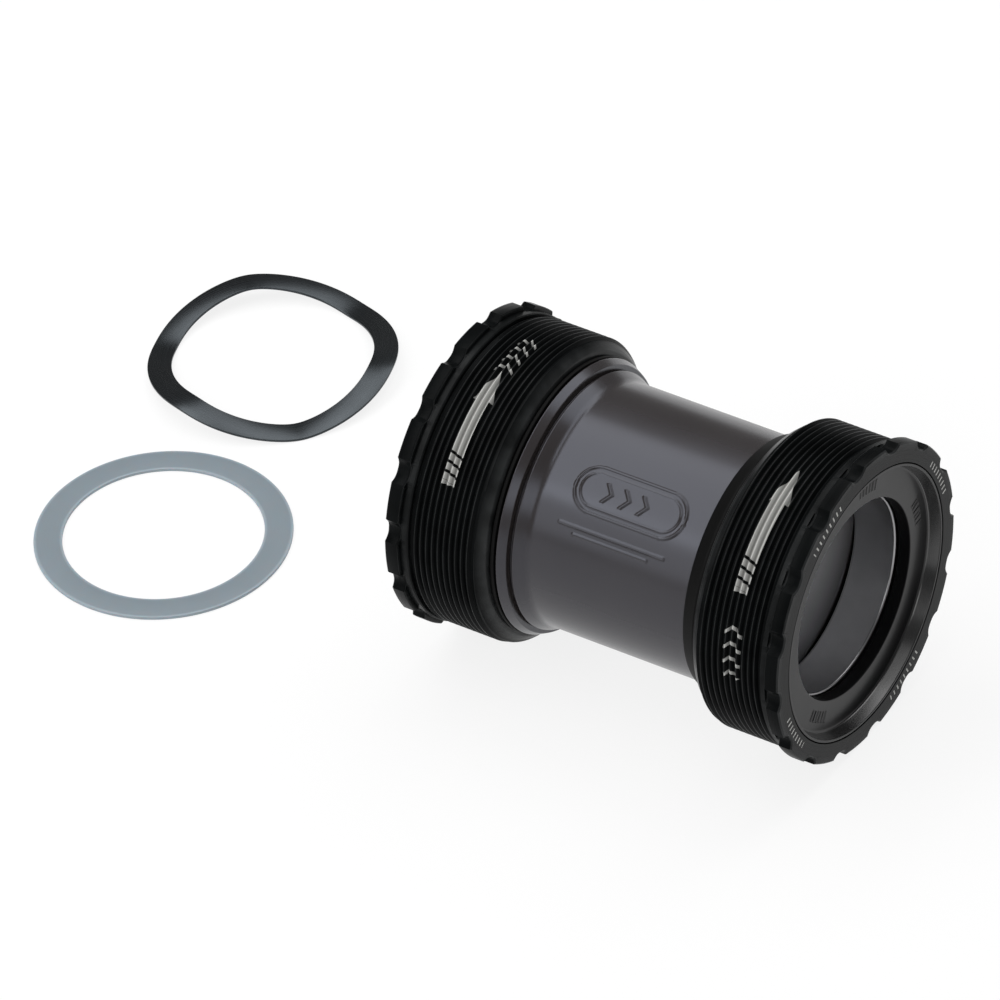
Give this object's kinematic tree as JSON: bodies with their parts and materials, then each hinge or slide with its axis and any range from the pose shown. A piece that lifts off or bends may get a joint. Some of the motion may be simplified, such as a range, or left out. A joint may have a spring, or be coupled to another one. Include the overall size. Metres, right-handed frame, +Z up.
{
  "type": "bottom bracket",
  "caption": "Bicycle bottom bracket: threaded notched cups with sealed bearings on a plastic centre sleeve, with a loose wave washer and a flat spacer ring.",
  "frame": {"origin": "middle of the floor under the whole set, bracket and loose rings together", "axes": "+X along the bracket's axis to its non-drive side, +Z up from the floor that it lies on"},
  "size_m": [0.1426, 0.0804, 0.0489],
  "materials": {
    "anodised": "black anodised, satin gloss",
    "cover_plastic": "black, satin",
    "sleeve_plastic": "smoky grey, satin",
    "seal_rubber": "matt black",
    "shield_rubber": "matt black",
    "bearing_steel": "ground",
    "cage_nylon": "moulded",
    "spring_steel": "dark, satin",
    "spacer_plastic": "blue grey, moulded"
  },
  "bodies": {
    "sleeve": {"centre_sleeve": "sleeve_plastic"},
    "drive_seal_body": {"drive_sleeve_seal": "seal_rubber"},
    "drive_cup_body": {"drive_cup": "anodised", "drive_cover": "cover_plastic", "drive_outer_race": "bearing_steel", "drive_outboard_shield": "shield_rubber", "drive_inboard_shield": "shield_rubber"},
    "drive_spindle_ring": {"drive_inner_race": "bearing_steel"},
    "drive_ball_set": {"drive_cage": "cage_nylon", "drive_ball_01": "bearing_steel", "drive_ball_02": "bearing_steel", "drive_ball_03": "bearing_steel", "drive_ball_04": "bearing_steel", "drive_ball_05": "bearing_steel", "drive_ball_06": "bearing_steel", "drive_ball_07": "bearing_steel", "drive_ball_08": "bearing_steel", "drive_ball_09": "bearing_steel", "drive_ball_10": "bearing_steel", "drive_ball_11": "bearing_steel", "drive_ball_12": "bearing_steel", "drive_ball_13": "bearing_steel", "drive_ball_14": "bearing_steel", "drive_ball_15": "bearing_steel", "drive_ball_16": "bearing_steel", "drive_ball_17": "bearing_steel", "drive_ball_18": "bearing_steel"},
    "non_drive_seal_body": {"non_drive_sleeve_seal": "seal_rubber"},
    "non_drive_cup_body": {"non_drive_cup": "anodised", "non_drive_cover": "cover_plastic", "non_drive_outer_race": "bearing_steel", "non_drive_outboard_shield": "shield_rubber", "non_drive_inboard_shield": "shield_rubber"},
    "non_drive_spindle_ring": {"non_drive_inner_race": "bearing_steel"},
    "non_drive_ball_set": {"non_drive_cage": "cage_nylon", "non_drive_ball_01": "bearing_steel", "non_drive_ball_02": "bearing_steel", "non_drive_ball_03": "bearing_steel", "non_drive_ball_04": "bearing_steel", "non_drive_ball_05": "bearing_steel", "non_drive_ball_06": "bearing_steel", "non_drive_ball_07": "bearing_steel", "non_drive_ball_08": "bearing_steel", "non_drive_ball_09": "bearing_steel", "non_drive_ball_10": "bearing_steel", "non_drive_ball_11": "bearing_steel", "non_drive_ball_12": "bearing_steel", "non_drive_ball_13": "bearing_steel", "non_drive_ball_14": "bearing_steel", "non_drive_ball_15": "bearing_steel", "non_drive_ball_16": "bearing_steel", "non_drive_ball_17": "bearing_steel", "non_drive_ball_18": "bearing_steel"},
    "wave_washer_body": {"wave_washer": "spring_steel"},
    "spacer_body": {"spacer_ring": "spacer_plastic"}
  },
  "joints": [
    {"name": "drive_cup_pull_off", "type": "slide", "parent": "sleeve", "child": "drive_seal_body", "axis": [-1, 0, 0], "range_m": [0, 0.02]},
    {"name": "drive_cup_turn", "type": "hinge", "parent": "drive_seal_body", "child": "drive_cup_body", "pos_m": [0.03793, -0.0076, 0.02445], "axis": [1, 0, 0], "continuous": true},
    {"name": "drive_spindle_spin", "type": "hinge", "parent": "drive_cup_body", "child": "drive_spindle_ring", "pos_m": [0.03793, -0.0076, 0.02445], "axis": [1, 0, 0], "continuous": true},
    {"name": "drive_ball_roll", "type": "hinge", "parent": "drive_cup_body", "child": "drive_ball_set", "pos_m": [0.03793, -0.0076, 0.02445], "axis": [1, 0, 0], "continuous": true},
    {"name": "non_drive_cup_pull_off", "type": "slide", "parent": "sleeve", "child": "non_drive_seal_body", "axis": [1, 0, 0], "range_m": [0, 0.02]},
    {"name": "non_drive_cup_turn", "type": "hinge", "parent": "non_drive_seal_body", "child": "non_drive_cup_body", "pos_m": [0.03793, -0.0076, 0.02445], "axis": [1, 0, 0], "continuous": true},
    {"name": "non_drive_spindle_spin", "type": "hinge", "parent": "non_drive_cup_body", "child": "non_drive_spindle_ring", "pos_m": [0.03793, -0.0076, 0.02445], "axis": [1, 0, 0], "continuous": true},
    {"name": "non_drive_ball_roll", "type": "hinge", "parent": "non_drive_cup_body", "child": "non_drive_ball_set", "pos_m": [0.03793, -0.0076, 0.02445], "axis": [1, 0, 0], "continuous": true},
    {"name": "wave_washer_lift", "type": "slide", "parent": "sleeve", "child": "wave_washer_body", "axis": [0, 0, 1], "range_m": [0, 0.1]},
    {"name": "spacer_lift", "type": "slide", "parent": "sleeve", "child": "spacer_body", "axis": [0, 0, 1], "range_m": [0, 0.1]}
  ],
  "couplings": [
    {"joint": "drive_ball_roll", "follows": "drive_spindle_spin", "ratio": 0.4559},
    {"joint": "non_drive_ball_roll", "follows": "non_drive_spindle_spin", "ratio": 0.4559}
  ]
}
